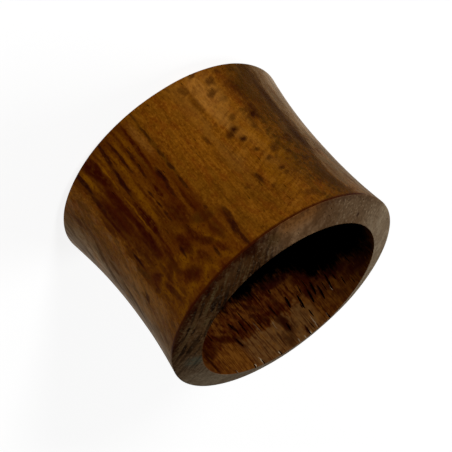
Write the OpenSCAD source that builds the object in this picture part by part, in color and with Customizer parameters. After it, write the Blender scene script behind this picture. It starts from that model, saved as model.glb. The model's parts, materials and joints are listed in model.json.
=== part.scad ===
// Flesh tunnel: a double-flared ear plug turned from one piece of dark wood, open from end to end.
// The shallow saddle between the two flares holds it in a stretched lobe.
// Each mouth has a bevelled rim, which falls away from the bore to the flare.
// It stands on its back rim, as on a table: the bore runs along Z with the front mouth on top,
// and the origin is on the table, in the middle of the bore.

/* [Fit in the lobe] */
// Gauge: diameter of the waist, which the lobe sits round
gauge_d = 18; // [12:0.5:30]
// How far each flare stands out past the waist, on the radius
flare_rise = 0.55; // [0.3:0.05:1.2]
// Length from mouth to mouth
length = 15.3; // [10:0.1:20]

/* [Bore and rims] */
// Thickness of the wall at the waist
waist_wall = 1.5; // [1:0.1:4]
// How far each rim falls from the bore's edge to the flare, along the bore
rim_depth = 0.75; // [0.4:0.05:1.8]

/* [Hidden] */

// Facets round a preview of the turned surfaces, which are true rounds
$fn = 180;

waist_r = gauge_d / 2;
flare_r = waist_r + flare_rise;
bore_r = waist_r - waist_wall;

// Distance of each flare from the middle, along the bore
flare_at = length / 2 - rim_depth;
// One arc runs from flare to flare and touches the waist
saddle_r = (flare_at * flare_at + flare_rise * flare_rise) / (2 * flare_rise);

// Half of the tunnel cut along its axis: radius to the right, length upwards
module wall_section() {
    difference() {
        polygon([
            [bore_r, -length / 2],
            [flare_r, -flare_at],
            [flare_r, flare_at],
            [bore_r, length / 2],
        ]);
        translate([waist_r + saddle_r, 0])
            circle(r = saddle_r);
    }
}

module tunnel() {
    color([0.42, 0.25, 0.07])
        translate([0, 0, length / 2])
            rotate_extrude()
                wall_section();
}

tunnel();
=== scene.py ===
# %% [markdown]
# A wooden flesh tunnel
# This lesson dresses one small turned object: an ear tunnel of dark open-grained wood, 19 mm across.
# The CAD model gives its exact solid. Blender adds what a hand and a tree gave the real one: a slightly
# uneven lathe form, cut vessels that open as pores and slits, streaked heartwood, and sanded grey rims.

import json
import math

import bpy
from mathutils import Matrix, Vector


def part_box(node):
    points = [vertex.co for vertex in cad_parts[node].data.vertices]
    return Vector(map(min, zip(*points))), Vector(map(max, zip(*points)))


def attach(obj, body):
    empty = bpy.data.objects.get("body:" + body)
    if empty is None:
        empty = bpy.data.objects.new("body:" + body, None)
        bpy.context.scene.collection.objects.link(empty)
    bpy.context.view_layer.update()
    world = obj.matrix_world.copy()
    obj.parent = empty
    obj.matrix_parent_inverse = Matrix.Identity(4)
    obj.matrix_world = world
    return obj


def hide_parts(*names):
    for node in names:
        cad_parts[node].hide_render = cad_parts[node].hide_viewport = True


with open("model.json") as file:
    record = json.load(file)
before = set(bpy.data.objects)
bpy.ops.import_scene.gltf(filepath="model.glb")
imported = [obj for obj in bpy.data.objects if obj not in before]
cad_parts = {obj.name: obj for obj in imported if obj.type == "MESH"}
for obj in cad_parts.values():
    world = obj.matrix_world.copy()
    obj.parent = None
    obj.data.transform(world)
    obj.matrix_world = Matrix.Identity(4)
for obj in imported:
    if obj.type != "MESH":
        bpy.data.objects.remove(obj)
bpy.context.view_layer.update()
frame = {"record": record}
MM = 0.001

# %% [markdown]
# Sizes
# The frame's box gives the length and the flares. The waist, the bore and the rim are the part's own
# sizes, and the record's two mounts name them. All of them are in metres, as Blender works.

# %% Sizes of the tunnel
low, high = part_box("tunnel")
LENGTH = high.z - low.z
FLARE_R = (high.x - low.x) / 2
mounts = {mount["name"]: mount["dims"] for mount in frame["record"]["mounts"]}
BORE_R = mounts["bore"]["r_mm"] * MM
WAIST_R = mounts["lobe_saddle"]["r_mm"] * MM
RIM_DEPTH = (LENGTH - mounts["lobe_saddle"]["length_mm"] * MM) / 2
print(f"length {LENGTH / MM:.2f} mm, rims {RIM_DEPTH / MM:.2f} mm deep")
print(f"radius of flare {FLARE_R / MM:.2f}, waist {WAIST_R / MM:.2f} and bore {BORE_R / MM:.2f} mm")

# %% [markdown]
# The camera
# The photograph was taken from close by with a long lens, so the tunnel shows only a little perspective.
# The camera looks down into the front mouth from 26 degrees above the floor. It is rolled, because the
# picture shows the mouth at the lower right, and the object itself has to stand on its rim.

# %% Camera
CAMERA_HEIGHT = math.radians(25.91)
CAMERA_ROLL = math.radians(140.09)
CAMERA_DISTANCE = 145.6 * MM
NEAREST = 10 * MM
SENSOR = 36.0
# In pixels of the photograph: its side, the lens, and where the middle of the tunnel lies
PICTURE = 452
LENS_IN_PIXELS = 2014.6
MIDDLE_X, MIDDLE_Y = 226.91, 225.77

back = Vector((0, -math.cos(CAMERA_HEIGHT), math.sin(CAMERA_HEIGHT)))
level_right = Vector((1, 0, 0))
level_up = back.cross(level_right)
right = math.cos(CAMERA_ROLL) * level_right + math.sin(CAMERA_ROLL) * level_up
up = math.cos(CAMERA_ROLL) * level_up - math.sin(CAMERA_ROLL) * level_right
pixel = CAMERA_DISTANCE / LENS_IN_PIXELS
aside = right * (MIDDLE_X - PICTURE / 2) * pixel
above = up * (MIDDLE_Y - PICTURE / 2) * pixel
aim = Vector((0, 0, LENGTH / 2)) - aside + above

camera = bpy.data.objects.new("camera", bpy.data.cameras.new("camera"))
facing = Matrix((right, up, back)).transposed().to_4x4()
camera.matrix_world = Matrix.Translation(aim + back * CAMERA_DISTANCE) @ facing
camera.data.sensor_width = SENSOR
camera.data.lens = LENS_IN_PIXELS / PICTURE * SENSOR
camera.data.clip_start = NEAREST
bpy.context.collection.objects.link(camera)
bpy.context.scene.camera = camera
print(f"lens {camera.data.lens:.0f} mm, one pixel is {pixel / MM:.3f} mm on the tunnel")

# %% [markdown]
# A helper for node sums
# Both the shape and the finish are sums over the surface. Wiring Math nodes by hand hides the sum, so a
# Term wraps one output and lets Python write it: a + b adds the node. Vectors take Vector Math nodes.

# %% Terms and graphs


def is_vector(value):
    """True for three numbers, or for a term that holds three."""
    return value.socket.type in ("VECTOR", "RGBA") if isinstance(value, Term) else isinstance(value, tuple)


class Term:
    """One output of a node, ready to take part in a sum."""

    def __init__(self, graph, socket):
        self.graph = graph
        self.socket = socket

    def work(self, operation, *others, clamp=False, output=None):
        """The Math or Vector Math node that this operation needs."""
        terms = [self, *others]
        if any(is_vector(t) for t in terms):
            kind, settings = "ShaderNodeVectorMath", {"operation": operation}
        else:
            kind, settings = "ShaderNodeMath", {"operation": operation, "use_clamp": clamp}
        return self.graph.add(kind, settings, dict(enumerate(terms)), output)

    def __add__(self, other):
        return self.work("ADD", other)

    def __radd__(self, other):
        return self.work("ADD", other)

    def __sub__(self, other):
        return self.work("SUBTRACT", other)

    def __rsub__(self, other):
        return (self * -1.0) + other

    def __mul__(self, other):
        if is_vector(self) and not is_vector(other):
            return self.graph.add("ShaderNodeVectorMath", {"operation": "SCALE"}, {0: self, "Scale": other})
        return self.work("MULTIPLY", other)

    def __truediv__(self, other):
        return self.work("DIVIDE", other)

    def __rtruediv__(self, other):
        return self.work("POWER", -1.0) * other

    def __pow__(self, other):
        return self.work("POWER", other)

    def clamped(self):
        """Held between 0 and 1."""
        return self.work("ADD", 0.0, clamp=True)

    def size(self):
        """How far it is from 0, on either side."""
        return self.work("ABSOLUTE")

    def larger(self, other):
        """The larger of the two, point by point."""
        return self.work("MAXIMUM", other)

    def fade(self, start, end, top=1.0):
        """0 at start, top at end, and a soft S between them. Beyond the two it stays level."""
        return self.graph.add(
            "ShaderNodeMapRange",
            {"interpolation_type": "SMOOTHSTEP", "clamp": True},
            {"Value": self, "From Min": start, "From Max": end, "To Max": top},
        )

    def parts(self):
        """The three numbers of a vector."""
        node = self.graph.add("ShaderNodeSeparateXYZ", {}, {0: self}).socket.node
        return [Term(self.graph, output) for output in node.outputs]


class Graph:
    """A node tree that is filled in by terms."""

    def __init__(self, tree):
        self.tree = tree

    def add(self, kind, settings=None, sockets=None, output=None):
        """A node of this kind: its settings first, then its sockets by name or place. Gives its output."""
        node = self.tree.nodes.new(kind)
        for name, value in (settings or {}).items():
            setattr(node, name, value)
        for name, value in (sockets or {}).items():
            self.feed(self.find(node.inputs, name), value)
        return Term(self, self.find(node.outputs, output))

    def find(self, sockets, name):
        """A socket by name, among those that the node's settings leave in use, or by place."""
        if isinstance(name, int):
            return sockets[name]
        in_use = [s for s in sockets if s.enabled]
        if name is None:
            return in_use[0] if in_use else None
        return next(s for s in in_use if s.name == name)

    def feed(self, socket, value):
        """Links a term to the socket, or sets the socket to a plain value."""
        if isinstance(value, Term):
            self.tree.links.new(value.socket, socket)
        else:
            socket.default_value = value

    def vector(self, x, y, z):
        """Three numbers or terms as one vector."""
        return self.add("ShaderNodeCombineXYZ", {}, {0: x, 1: y, 2: z})

    def blend(self, first, second, share):
        """first where share is 0, and second where it is 1. For colours."""
        return self.add("ShaderNodeMix", {"data_type": "RGBA"}, {"Factor": share, "A": first, "B": second})

    def noise(self, place, detail=2.0):
        """Soft noise from 0 to 1 that changes over about one unit of place."""
        return self.add("ShaderNodeTexNoise", {}, {"Vector": place, "Scale": 1.0, "Detail": detail})


# %% [markdown]
# Geometry Nodes from Python
# A tree takes named inputs, so that the sizes stay readable in the modifier panel. The result of the
# modifier is turned into a plain mesh, because the finished piece should not depend on live nodes.

# %% Trees and how they are grown
# The kind of input socket for each kind of value
SOCKETS = {float: "NodeSocketFloat", int: "NodeSocketInt", bpy.types.Material: "NodeSocketMaterial"}
# An edge that turns by more than this is rounded
CORNER = math.radians(40)


def new_tree(name, inputs):
    """A Geometry Nodes tree with a mesh in, a mesh out, and one input for each name and kind."""
    tree = bpy.data.node_groups.new(name, "GeometryNodeTree")
    tree.interface.new_socket("Mesh", in_out="INPUT", socket_type="NodeSocketGeometry")
    tree.interface.new_socket("Mesh", in_out="OUTPUT", socket_type="NodeSocketGeometry")
    for label, kind in inputs.items():
        tree.interface.new_socket(label, in_out="INPUT", socket_type=SOCKETS[kind])
    graph = Graph(tree)
    node = tree.nodes.new("NodeGroupInput")
    return graph, {output.name: Term(graph, output) for output in node.outputs if output.name}


def end_tree(graph, shape, material, *others):
    """Instances are made real and get their material, and the tree gives them out.

    Each of the others is a material and the faces that get it in place of the first."""
    painted = graph.add("GeometryNodeRealizeInstances", {}, {0: shape})
    for paint, faces in ((material, True), *others):
        sockets = {"Geometry": painted, "Selection": faces, "Material": paint}
        painted = graph.add("GeometryNodeSetMaterial", {}, sockets)
    graph.feed(graph.tree.nodes.new("NodeGroupOutput").inputs[0], painted)
    print(f"{graph.tree.name}: {len(graph.tree.nodes)} nodes")


def plain_mesh(name, thing):
    """An object's mesh with its modifiers worked out, less the empty first slot of a grown shape."""
    bpy.context.view_layer.update()
    evaluated = thing.evaluated_get(bpy.context.evaluated_depsgraph_get())
    mesh = bpy.data.meshes.new_from_object(evaluated)
    mesh.name = name
    if mesh.materials[0] is None:
        mesh.materials.pop(index=0)
    return mesh


def grow(name, graph, values, mesh=None, bevel=None):
    """An object whose mesh is what the tree makes of the given mesh, with the modifiers already applied."""
    thing = bpy.data.objects.new(name, mesh or bpy.data.meshes.new(name + " start"))
    bpy.context.collection.objects.link(thing)
    modifier = thing.modifiers.new(graph.tree.name, "NODES")
    modifier.node_group = graph.tree
    for item in graph.tree.interface.items_tree:
        if item.in_out == "INPUT" and item.name in values:
            modifier[item.identifier] = values[item.name]
    if bevel:
        rounding = thing.modifiers.new("rounded edges", "BEVEL")
        rounding.width = bevel
        rounding.segments = 3
        rounding.limit_method = "ANGLE"
        rounding.angle_limit = CORNER
    made = plain_mesh(name, thing)
    thing.modifiers.clear()
    thing.data = made
    print(f"{name}: {len(made.vertices)} vertices, {len(made.polygons)} faces")
    return thing


# %% [markdown]
# The turned body
# On the lathe one cut is carried round the axis: up the saddle, over the front rim, down the bore and
# over the back rim. The tree does the same. A flat card has the section's steps along one side and the
# turn along the other. Four clamped runs carry a step along the wall, a rim, the bore and the other rim,
# and sine and cosine bend the card round. Two seams meet and are merged, which closes the body.
# Low noise along the normal keeps it from being rounder than a hand-held tool leaves it. At the end of
# the tree the faces get their finishes: oiled wood outside, sanded end grain on the rims, dry wood inside.

# %% Body tree
oiled_wall, sanded_rim, dry_bore, open_vessel = [
    bpy.data.materials.new(name) for name in ("oiled wall", "sanded rim", "dry bore", "open vessel")
]
WALL_STEPS = 70
RIM_STEPS = 11
BORE_STEPS = 76
SECTION_STEPS = WALL_STEPS + BORE_STEPS + 2 * RIM_STEPS
STEPS_ROUND = 300
# Points of the two seams are one point when they lie closer than this
SEAM = 0.001 * MM

body, size = new_tree(
    "turned body",
    {
        "Length": float,
        "Flare radius": float,
        "Waist radius": float,
        "Bore radius": float,
        "Rim depth": float,
        "Unevenness": float,
        "Unevenness spread": float,
        "Wall finish": bpy.types.Material,
        "Rim finish": bpy.types.Material,
        "Bore finish": bpy.types.Material,
    },
)
card = body.add(
    "GeometryNodeMeshGrid",
    {},
    {"Size X": 1.0, "Size Y": 1.0, "Vertices X": SECTION_STEPS + 1, "Vertices Y": STEPS_ROUND + 1},
)
along, across, _ = body.add("GeometryNodeInputPosition").parts()
step = (along + 0.5) * SECTION_STEPS
turn = (across + 0.5) * math.tau


def run(start, steps):
    """0 before the run starts, 1 after its last step."""
    return ((step - start) / steps).clamped()


on_wall = run(0, WALL_STEPS)
on_front_rim = run(WALL_STEPS, RIM_STEPS)
in_bore = run(WALL_STEPS + RIM_STEPS, BORE_STEPS)
on_back_rim = run(WALL_STEPS + RIM_STEPS + BORE_STEPS, RIM_STEPS)

saddle_length = size["Length"] - size["Rim depth"] * 2.0
rise = size["Flare radius"] - size["Waist radius"]
saddle_r = ((saddle_length * 0.5) ** 2.0 + rise**2.0) / (rise * 2.0)
from_waist = (on_wall - 0.5) * saddle_length
saddle = size["Waist radius"] + saddle_r - (saddle_r**2.0 - from_waist**2.0) ** 0.5
radius = saddle - (size["Flare radius"] - size["Bore radius"]) * (on_front_rim - on_back_rim)
climb = size["Rim depth"] * (on_front_rim + on_back_rim + 1.0) + saddle_length * on_wall
height = climb - size["Length"] * in_bore

ring = body.vector(radius * turn.work("SINE") * -1.0, radius * turn.work("COSINE") * -1.0, height)
bent = body.add("GeometryNodeSetPosition", {}, {"Geometry": card, "Position": ring})
closed = body.add("GeometryNodeMergeByDistance", {}, {"Geometry": bent, "Distance": SEAM})
spread = 1.0 / size["Unevenness spread"]
uneven = body.noise(body.add("GeometryNodeInputPosition") * spread, detail=1.0) - 0.5
offset = body.add("GeometryNodeInputNormal") * (uneven * size["Unevenness"])
turned = body.add("GeometryNodeSetPosition", {}, {"Geometry": closed, "Offset": offset})
smooth = body.add("GeometryNodeSetShadeSmooth", {}, {0: turned})

# How far off the true section a face may lie and still count as bore
SLACK = 0.09 * MM
x, y, z = body.add("GeometryNodeInputPosition").parts()
from_axis = (x**2.0 + y**2.0) ** 0.5
from_middle = (z - size["Length"] * 0.5).size()
rim_faces = from_middle.work("GREATER_THAN", saddle_length * 0.5 - SLACK / 3)
bore_faces = from_axis.work("LESS_THAN", size["Bore radius"] + SLACK)
bore_faces = bore_faces * from_middle.work("LESS_THAN", size["Length"] * 0.5 - SLACK)
rims = (size["Rim finish"], rim_faces)
inside = (size["Bore finish"], bore_faces)
end_tree(body, smooth, size["Wall finish"], rims, inside)

# %% [markdown]
# From the tree to the wood
# The modifier is the lathe, and its inputs are the real sizes. A narrow bevel then rounds the edges between
# wall, rims and bore, as a last pass with sandpaper does, and the result is kept as a plain mesh.

# %% Turn the body
EDGE_ROUND = 0.06 * MM
tunnel = grow(
    "tunnel_turned",
    body,
    {
        "Length": LENGTH,
        "Flare radius": FLARE_R,
        "Waist radius": WAIST_R,
        "Bore radius": BORE_R,
        "Rim depth": RIM_DEPTH,
        "Unevenness": 0.12 * MM,
        "Unevenness spread": 7 * MM,
        "Wall finish": oiled_wall,
        "Rim finish": sanded_rim,
        "Bore finish": dry_bore,
    },
    bevel=EDGE_ROUND,
)

# %% [markdown]
# Open vessels
# The wood's vessels are fine tubes that run along the grain, and so along the bore. Where the lathe cut
# across them they are round pits, on the rims, and where it grazed them they are slits, in the bore.
# One spindle-shaped cutter makes both. The body is pressed flat along the grain before the spots are
# strewn and let go after it, so that long slits can lie side by side without meeting end to end.

# %% Vessel tree
# Far more spots to the square metre than fit, so that their spacing alone decides
CROWDED = 1e8

vessels, pore = new_tree(
    "open vessels",
    {
        "Least radius": float,
        "Most radius": float,
        "Least from middle": float,
        "Most from middle": float,
        "Spacing": float,
        "Stretch": float,
        "Width": float,
        "Slit length": float,
        "Sink": float,
        "Share kept": float,
        "Seed": int,
        "Material": bpy.types.Material,
    },
)
x, y, z = vessels.add("GeometryNodeInputPosition").parts()
from_axis = (x**2.0 + y**2.0) ** 0.5
from_middle = (z - LENGTH / 2).size()


def within(term, least, most):
    """1 where the term lies between the two, and 0 elsewhere."""
    return term.work("GREATER_THAN", least) * term.work("LESS_THAN", most)


zone = within(from_axis, pore["Least radius"], pore["Most radius"])
zone = zone * within(from_middle, pore["Least from middle"], pore["Most from middle"])
kept = vessels.add(
    "GeometryNodeSeparateGeometry",
    {"domain": "FACE"},
    {"Geometry": pore["Mesh"], "Selection": zone},
)
squeeze = vessels.vector(1.0, 1.0, 1.0 / pore["Stretch"])
pressed = vessels.add("GeometryNodeTransform", {}, {"Geometry": kept, "Scale": squeeze})
strewn = vessels.add(
    "GeometryNodeDistributePointsOnFaces",
    {"distribute_method": "POISSON"},
    {"Mesh": pressed, "Distance Min": pore["Spacing"], "Density Max": CROWDED, "Seed": pore["Seed"]},
)
inward = Term(vessels, strewn.socket.node.outputs["Normal"]) * (pore["Sink"] * -1.0)
let_go = vessels.add(
    "GeometryNodeTransform", {}, {"Geometry": strewn, "Scale": vessels.vector(1.0, 1.0, pore["Stretch"])}
)
sunk = vessels.add("GeometryNodeSetPosition", {}, {"Geometry": let_go, "Offset": inward})


def between(low_share, high_share, salt):
    """A share drawn for each spot. The salt keeps one draw from following another."""
    sockets = {"Min": low_share, "Max": high_share, "Seed": pore["Seed"] + salt}
    return vessels.add("FunctionNodeRandomValue", {"data_type": "FLOAT"}, sockets)


spindle = vessels.add("GeometryNodeMeshUVSphere", {}, {"Segments": 8, "Rings": 5, "Radius": 0.5})
wide = pore["Width"] * between(0.6, 1.2, 1)
long = pore["Slit length"] * between(0.4, 1.1, 2)
chosen = between(0.0, 1.0, 3).work("LESS_THAN", pore["Share kept"])
cutters = vessels.add(
    "GeometryNodeInstanceOnPoints",
    {},
    {"Points": sunk, "Selection": chosen, "Instance": spindle, "Scale": vessels.vector(wide, wide, long)},
)
end_tree(vessels, cutters, pore["Material"])

# %% [markdown]
# Slits from a chart
# The longest open vessels are what the eye finds first, so their places are charted. A row gives the turn
# in degrees and the height in mm of a slit's upper end, the same of its lower end, and its width in mm.
# Each slit is one loose vertex that carries its run and its width as attributes. The tree puts a spindle
# there, long way along the run, and turns its deep way towards the axis, so that it is narrow and yet dark.

# %% Slits in the bore
BORE_SLITS = [
    (156.3, 13.8, 154.4, 12.6, 0.19),
    (163.6, 13.9, 162.1, 12.8, 0.19),
    (165.8, 13.1, 164.4, 12.2, 0.22),
    (169.7, 13.5, 168.3, 12.4, 0.19),
    (176.0, 13.3, 174.8, 12.2, 0.2),
    (182.0, 12.5, 180.8, 11.7, 0.24),
    (175.2, 14.3, 175.0, 13.7, 0.12),
    (190.2, 14.0, 189.8, 13.4, 0.18),
    (219.6, 13.2, 220.4, 12.5, 0.17),
    (217.0, 11.8, 217.8, 11.1, 0.17),
    (148.0, 14.4, 147.4, 13.8, 0.09),
    (172.0, 12.3, 171.0, 11.6, 0.1),
    (159.6, 13.6, 158.8, 12.8, 0.09),
    (191.0, 12.5, 191.3, 11.4, 0.1),
    (202.2, 12.8, 202.6, 12.0, 0.08),
    (207.4, 12.4, 208.0, 11.4, 0.08),
    (211.6, 12.3, 211.6, 11.2, 0.11),
    (168.2, 15.6, 168.4, 14.9, 0.12),
    (183.0, 15.5, 182.4, 14.6, 0.12),
    (203.0, 15.6, 203.2, 14.9, 0.12),
    (215.4, 15.6, 215.4, 14.9, 0.12),
    (221.9, 15.6, 221.9, 15.0, 0.12),
    (236.4, 15.6, 236.4, 15.0, 0.1),
]
print(len(BORE_SLITS), "slits in the bore")

# %% Pits in the wall
WALL_PITS = [
    (44.2, 5.45, 46.0, 5.25, 0.22),
    (27.6, 6.5, 28.4, 6.3, 0.2),
    (30.4, 6.2, 31.4, 6.05, 0.18),
    (31.2, 7.1, 32.2, 7.0, 0.16),
    (41.2, 8.65, 42.4, 8.5, 0.18),
    (33.0, 8.3, 33.8, 8.25, 0.12),
    (34.8, 9.4, 35.8, 9.3, 0.13),
    (36.4, 10.5, 37.6, 10.4, 0.13),
    (24.5, 10.1, 24.7, 10.8, 0.14),
    (17.5, 5.6, 17.7, 6.3, 0.1),
    (53.2, 7.9, 53.8, 7.8, 0.18),
    (-7.7, 5.4, -7.8, 6.4, 0.12),
    (-16.8, 7.0, -16.6, 7.5, 0.1),
    (-43.7, 8.0, -43.8, 9.0, 0.12),
    (-21.9, 10.8, -22.1, 11.4, 0.12),
    (-9.9, 12.8, -9.8, 13.4, 0.12),
]
print(len(WALL_PITS), "pits in the wall")

# %% Slit tree
FLARE_RISE = FLARE_R - WAIST_R
HALF_SADDLE = LENGTH / 2 - RIM_DEPTH
SADDLE_R = (HALF_SADDLE**2 + FLARE_RISE**2) / 2 / FLARE_RISE


def bore_reach(level):
    """The bore's radius, which is the same at every height."""
    return BORE_R


def wall_reach(level):
    """The saddle's radius at a height, by the same arc as in the body tree."""
    return WAIST_R + SADDLE_R - math.sqrt(SADDLE_R**2 - (level - LENGTH / 2) ** 2)


def on_round(turn, level, reach):
    """A point in metres from a chart's turn in degrees and height in mm, on the bore or the wall."""
    way, level = math.radians(turn), level * MM
    return Vector((-reach(level) * math.sin(way), -reach(level) * math.cos(way), level))


def slit_points(name, chart, reach):
    """A mesh with one vertex in the middle of each slit, which carries its run and width."""
    ends = [(on_round(a, top, reach), on_round(b, foot, reach)) for a, top, b, foot, _ in chart]
    mesh = bpy.data.meshes.new(name)
    mesh.from_pydata([(top + foot) / 2 for top, foot in ends], [], [])
    mesh.attributes.new("run", "FLOAT_VECTOR", "POINT")
    mesh.attributes.new("width", "FLOAT", "POINT")
    for spot, (top, foot) in enumerate(ends):
        mesh.attributes["run"].data[spot].vector = top - foot
        mesh.attributes["width"].data[spot].value = chart[spot][4] * MM
    return mesh


charted, slit = new_tree("charted slits", {"Depth share": float, "Material": bpy.types.Material})
run_of = charted.add("GeometryNodeInputNamedAttribute", {"data_type": "FLOAT_VECTOR"}, {"Name": "run"})
width_of = charted.add("GeometryNodeInputNamedAttribute", {"data_type": "FLOAT"}, {"Name": "width"})
from_centre = charted.add("GeometryNodeInputPosition") * (1.0, 1.0, 0.0)
aligned = charted.add("FunctionNodeAlignRotationToVector", {"axis": "Z"}, {"Vector": run_of})
aligned = charted.add(
    "FunctionNodeAlignRotationToVector",
    {"axis": "X", "pivot_axis": "Z"},
    {"Rotation": aligned, "Vector": from_centre},
)
spindle = charted.add("GeometryNodeMeshUVSphere", {}, {"Segments": 10, "Rings": 8, "Radius": 0.5})
long = run_of.work("LENGTH", output="Value") + width_of
spindles = charted.add(
    "GeometryNodeInstanceOnPoints",
    {},
    {
        "Points": charted.add("GeometryNodeMeshToPoints", {}, {"Mesh": slit["Mesh"]}),
        "Instance": spindle,
        "Rotation": aligned,
        "Scale": charted.vector(width_of * slit["Depth share"], width_of, long),
    },
)
end_tree(charted, spindles, slit["Material"])

# %% [markdown]
# Cutting
# A pore that is only drawn has no depth when the light comes low. So the spindles are taken out of the
# wood, one zone after another, and the walls of each cut keep the spindle's finish. Each spindle is sunk by
# less than half its own width, because one that lay wholly inside the wood would leave a hidden hollow.

# %% Cut the vessels open


def cut(target, cutter):
    """Takes the cutter's solids out of the target's mesh. The cut faces keep the cutter's material."""
    modifier = target.modifiers.new("cut", "BOOLEAN")
    modifier.operation = "DIFFERENCE"
    modifier.solver = "MANIFOLD"
    modifier.material_mode = "TRANSFER"
    modifier.object = cutter
    mesh = plain_mesh(target.name, target)
    target.modifiers.clear()
    target.data = mesh
    bpy.data.objects.remove(cutter)
    print(f"{target.name}: {len(mesh.polygons)} faces after the cut")


# An edge that turns by more than this is shaded sharp
SHARP = math.radians(35)
ZONES = {
    "rim pores": {
        "Least radius": BORE_R + 0.15 * MM,
        "Most radius": FLARE_R - 0.15 * MM,
        "Least from middle": HALF_SADDLE + 0.05 * MM,
        "Most from middle": LENGTH,
        "Spacing": 0.5 * MM,
        "Stretch": 1.0,
        "Width": 0.13 * MM,
        "Slit length": 0.5 * MM,
        "Sink": 0.02 * MM,
        "Share kept": 0.35,
        "Seed": 3,
        "Material": sanded_rim,
    },
    "bore slits": {
        "Least radius": 0.0,
        "Most radius": BORE_R + 0.04 * MM,
        "Least from middle": 0.0,
        "Most from middle": LENGTH / 2 - 0.5 * MM,
        "Spacing": 0.62 * MM,
        "Stretch": 2.6,
        "Width": 0.13 * MM,
        "Slit length": 1.1 * MM,
        "Sink": 0.02 * MM,
        "Share kept": 0.25,
        "Seed": 11,
        "Material": open_vessel,
    },
    "wall pores": {
        "Least radius": WAIST_R - 0.2 * MM,
        "Most radius": FLARE_R,
        "Least from middle": 0.0,
        "Most from middle": HALF_SADDLE - 0.3 * MM,
        "Spacing": 0.6 * MM,
        "Stretch": 2.6,
        "Width": 0.09 * MM,
        "Slit length": 0.8 * MM,
        "Sink": 0.02 * MM,
        "Share kept": 0.15,
        "Seed": 7,
        "Material": oiled_wall,
    },
}
for name, values in ZONES.items():
    cutter = grow(name, vessels, values, mesh=tunnel.data.copy())
    cut(tunnel, cutter)
for name, chart, reach, depth_share, inside in (
    ("bore slits from the chart", BORE_SLITS, bore_reach, 2.2, open_vessel),
    ("wall pits from the chart", WALL_PITS, wall_reach, 0.6, oiled_wall),
):
    values = {"Depth share": depth_share, "Material": inside}
    cut(tunnel, grow(name, charted, values, mesh=slit_points(name, chart, reach)))
tunnel.data.set_sharp_from_angle(angle=SHARP)
for slot, material in enumerate(tunnel.data.materials):
    faces = sum(face.material_index == slot for face in tunnel.data.polygons)
    print(f"finish {material.name}: {faces} faces")

# %% [markdown]
# The wood
# The real one is dark heartwood with an oil finish: honey brown on one side, and streaked red, olive and
# black on the other. A picture of it would only fit one view, so the wood is solid here. Fibres are noise
# that is drawn out along the bore, so a rim, which crosses them, shows their ends without being told to.
# The streaks that give this piece its face are charted, each from one point to another.
# The wall, the rims, the bore and the cut vessels have a material each, so that each stays small.

# %% The wood's colours


def paint(red, green, blue):
    """A colour as a screen shows it, from 0 to 255, as the light that a shader works with."""
    shares = [c / 255 for c in (red, green, blue)]
    return (*[s / 12.92 if s <= 0.04045 else ((s + 0.055) / 1.055) ** 2.4 for s in shares], 1.0)


HONEY = paint(116, 68, 9)
DEEP_HONEY = paint(82, 42, 0)
BRIGHT_HONEY = paint(132, 82, 20)
AMBER = paint(112, 67, 1)
HEART = paint(68, 30, 0)
DARK_HEART = paint(54, 11, 0)
DARK_RED = paint(44, 6, 0)
BLACK_BROWN = paint(36, 8, 2)
OLIVE = paint(52, 32, 0)
RUST = paint(94, 42, 2)
BROWN = paint(54, 31, 0)
BLACK_OLIVE = paint(46, 22, 0)
STREAK_BROWN = paint(62, 36, 2)
GUM_BROWN = paint(46, 18, 0)
# Pale wood, and painted sheen where it lies on the wall
PALE_TAN_AND_SHEEN = paint(146, 97, 38)
# Paler wood on the flanks, with painted sheen
SIDE_TAN_AND_SHEEN = paint(126, 101, 70)
# Painted sheen along the flanks of the wall
PAINTED_SHEEN_TAN = paint(164, 142, 116)
DRY_TAN = paint(107, 73, 37)
DRY_AMBER = paint(120, 73, 23)
DRY_RED = paint(74, 30, 6)
PURPLE_RED = paint(46, 12, 10)
END_GRAIN = paint(138, 120, 96)
DARK_END_GRAIN = paint(84, 58, 33)
SCRATCH_GREY = paint(94, 79, 50)
RED_END_GRAIN = paint(58, 31, 8)
OPEN_PORE = paint(28, 16, 8)
GREY_GREEN = paint(80, 84, 70)
UNLIT = paint(0, 0, 0)
# Pale flecks of end grain on the rim, and painted glints at the bore's mouth
PALE_FLECK_AND_GLINT = paint(170, 150, 120)
print(f"the deep honey gives back {DEEP_HONEY[0]:.1%} of red light and {DEEP_HONEY[1]:.1%} of green")


# %% [markdown]
# What the finishes share
# A chart needs two numbers for a place on a round wall: the turn round the axis and the height. The grain
# is solid noise, drawn out along the bore, and it is the same in every finish, so that streaks run on
# over the edges. Colours are laid over each other in coats, as a finisher lays stain and oil.

# %% A finish, its places and its grain
DEGREE = math.degrees(1)
# So low because a shinier wood shows the bright room over its dark streaks
GLOSS = 0.006
RELIEF_DEPTH = 0.03 * MM


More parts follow.
